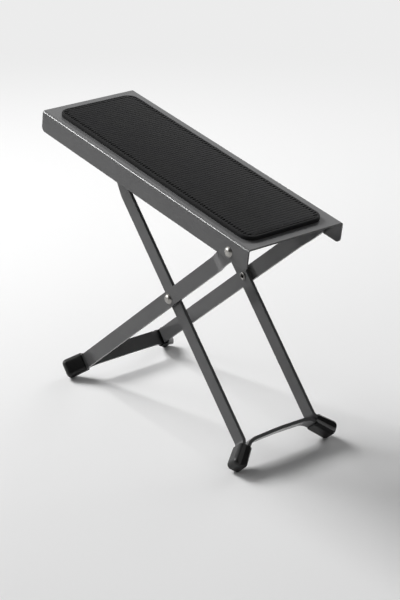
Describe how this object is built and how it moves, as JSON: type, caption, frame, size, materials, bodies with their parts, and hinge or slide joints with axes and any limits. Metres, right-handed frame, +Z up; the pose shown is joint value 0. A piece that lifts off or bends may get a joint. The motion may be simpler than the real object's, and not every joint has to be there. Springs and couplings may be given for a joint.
{
  "type": "guitar footrest",
  "caption": "Folding guitar footrest: bent sheet steel plate with a rubber mat on crossed flat-bar legs with rubber feet, height set by a rod under toothed racks.",
  "frame": {"origin": "on the floor, at the bottom centre of the box around the opened footrest", "axes": "+X along the plate towards its lower end, where it is pivoted, +Y across the plate, +Z up"},
  "size_m": [0.299, 0.1264, 0.2559],
  "materials": {
    "grey_paint": "satin dark grey powder coat",
    "mat_rubber": "matt black ribbed rubber",
    "boot_rubber": "satin black moulded rubber",
    "bright_steel": "bright nickel-plated steel",
    "zinc_steel": "zinc-plated steel"
  },
  "bodies": {
    "outer_legs": {"outer_frame": "grey_paint", "crossing_rivet_near": "bright_steel", "crossing_rivet_far": "bright_steel", "crossing_washer_near": "zinc_steel", "crossing_washer_far": "zinc_steel", "outer_foot_near": "boot_rubber", "outer_foot_far": "boot_rubber"},
    "plate": {"top_plate": "grey_paint", "rubber_mat": "mat_rubber", "height_rack_near": "grey_paint", "height_rack_far": "grey_paint", "pivot_rivet_near": "bright_steel", "pivot_rivet_far": "bright_steel", "pivot_washer_near": "zinc_steel", "pivot_washer_far": "zinc_steel"},
    "inner_legs": {"inner_frame": "grey_paint", "lock_rod": "zinc_steel", "rod_washer_near": "zinc_steel", "rod_washer_far": "zinc_steel", "inner_foot_near": "boot_rubber", "inner_foot_far": "boot_rubber"}
  },
  "joints": [
    {"name": "plate_fold", "type": "hinge", "parent": "outer_legs", "child": "plate", "pos_m": [0.12383, 0, 0.20036], "axis": [0, -1, 0], "range_deg": [0, 48.1]},
    {"name": "inner_fold", "type": "hinge", "parent": "outer_legs", "child": "inner_legs", "pos_m": [0.0337, 0, 0.12576], "axis": [0, -1, 0], "range_deg": [0, 87.74]}
  ],
  "couplings": [
    {"joint": "inner_fold", "follows": "plate_fold", "ratio": 1.823}
  ]
}
